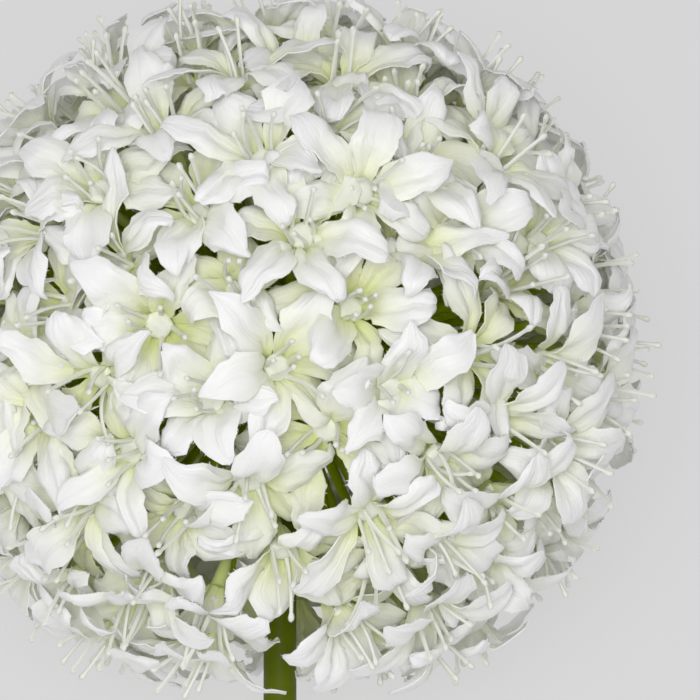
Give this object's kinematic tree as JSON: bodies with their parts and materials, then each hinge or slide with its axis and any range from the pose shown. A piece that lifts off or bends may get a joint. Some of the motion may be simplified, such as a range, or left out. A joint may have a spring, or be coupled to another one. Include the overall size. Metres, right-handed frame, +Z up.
{
  "type": "giant allium flower head",
  "caption": "Round head of white six-petalled fabric florets on thin green stalks from one core, on a cut green stem, lying on its side.",
  "frame": {"origin": "on the surface that the flower lies on, at the middle of its bounding box's footprint", "axes": "+Z up from that surface; the flower's axis lies over X = 0 with the head towards +Y and the stem's cut end towards -Y, where the axis dips to the surface by about 25 degrees"},
  "size_m": [0.1924, 0.2801, 0.1826],
  "materials": {
    "petals": "soft woven white fabric, pale yellow-green towards the throat, with fine lengthwise veins",
    "stem": "moulded olive-green plastic with a slight gloss"
  },
  "bodies": {
    "root": {"flower_head": "petals", "stem": "stem"}
  },
  "joints": []
}
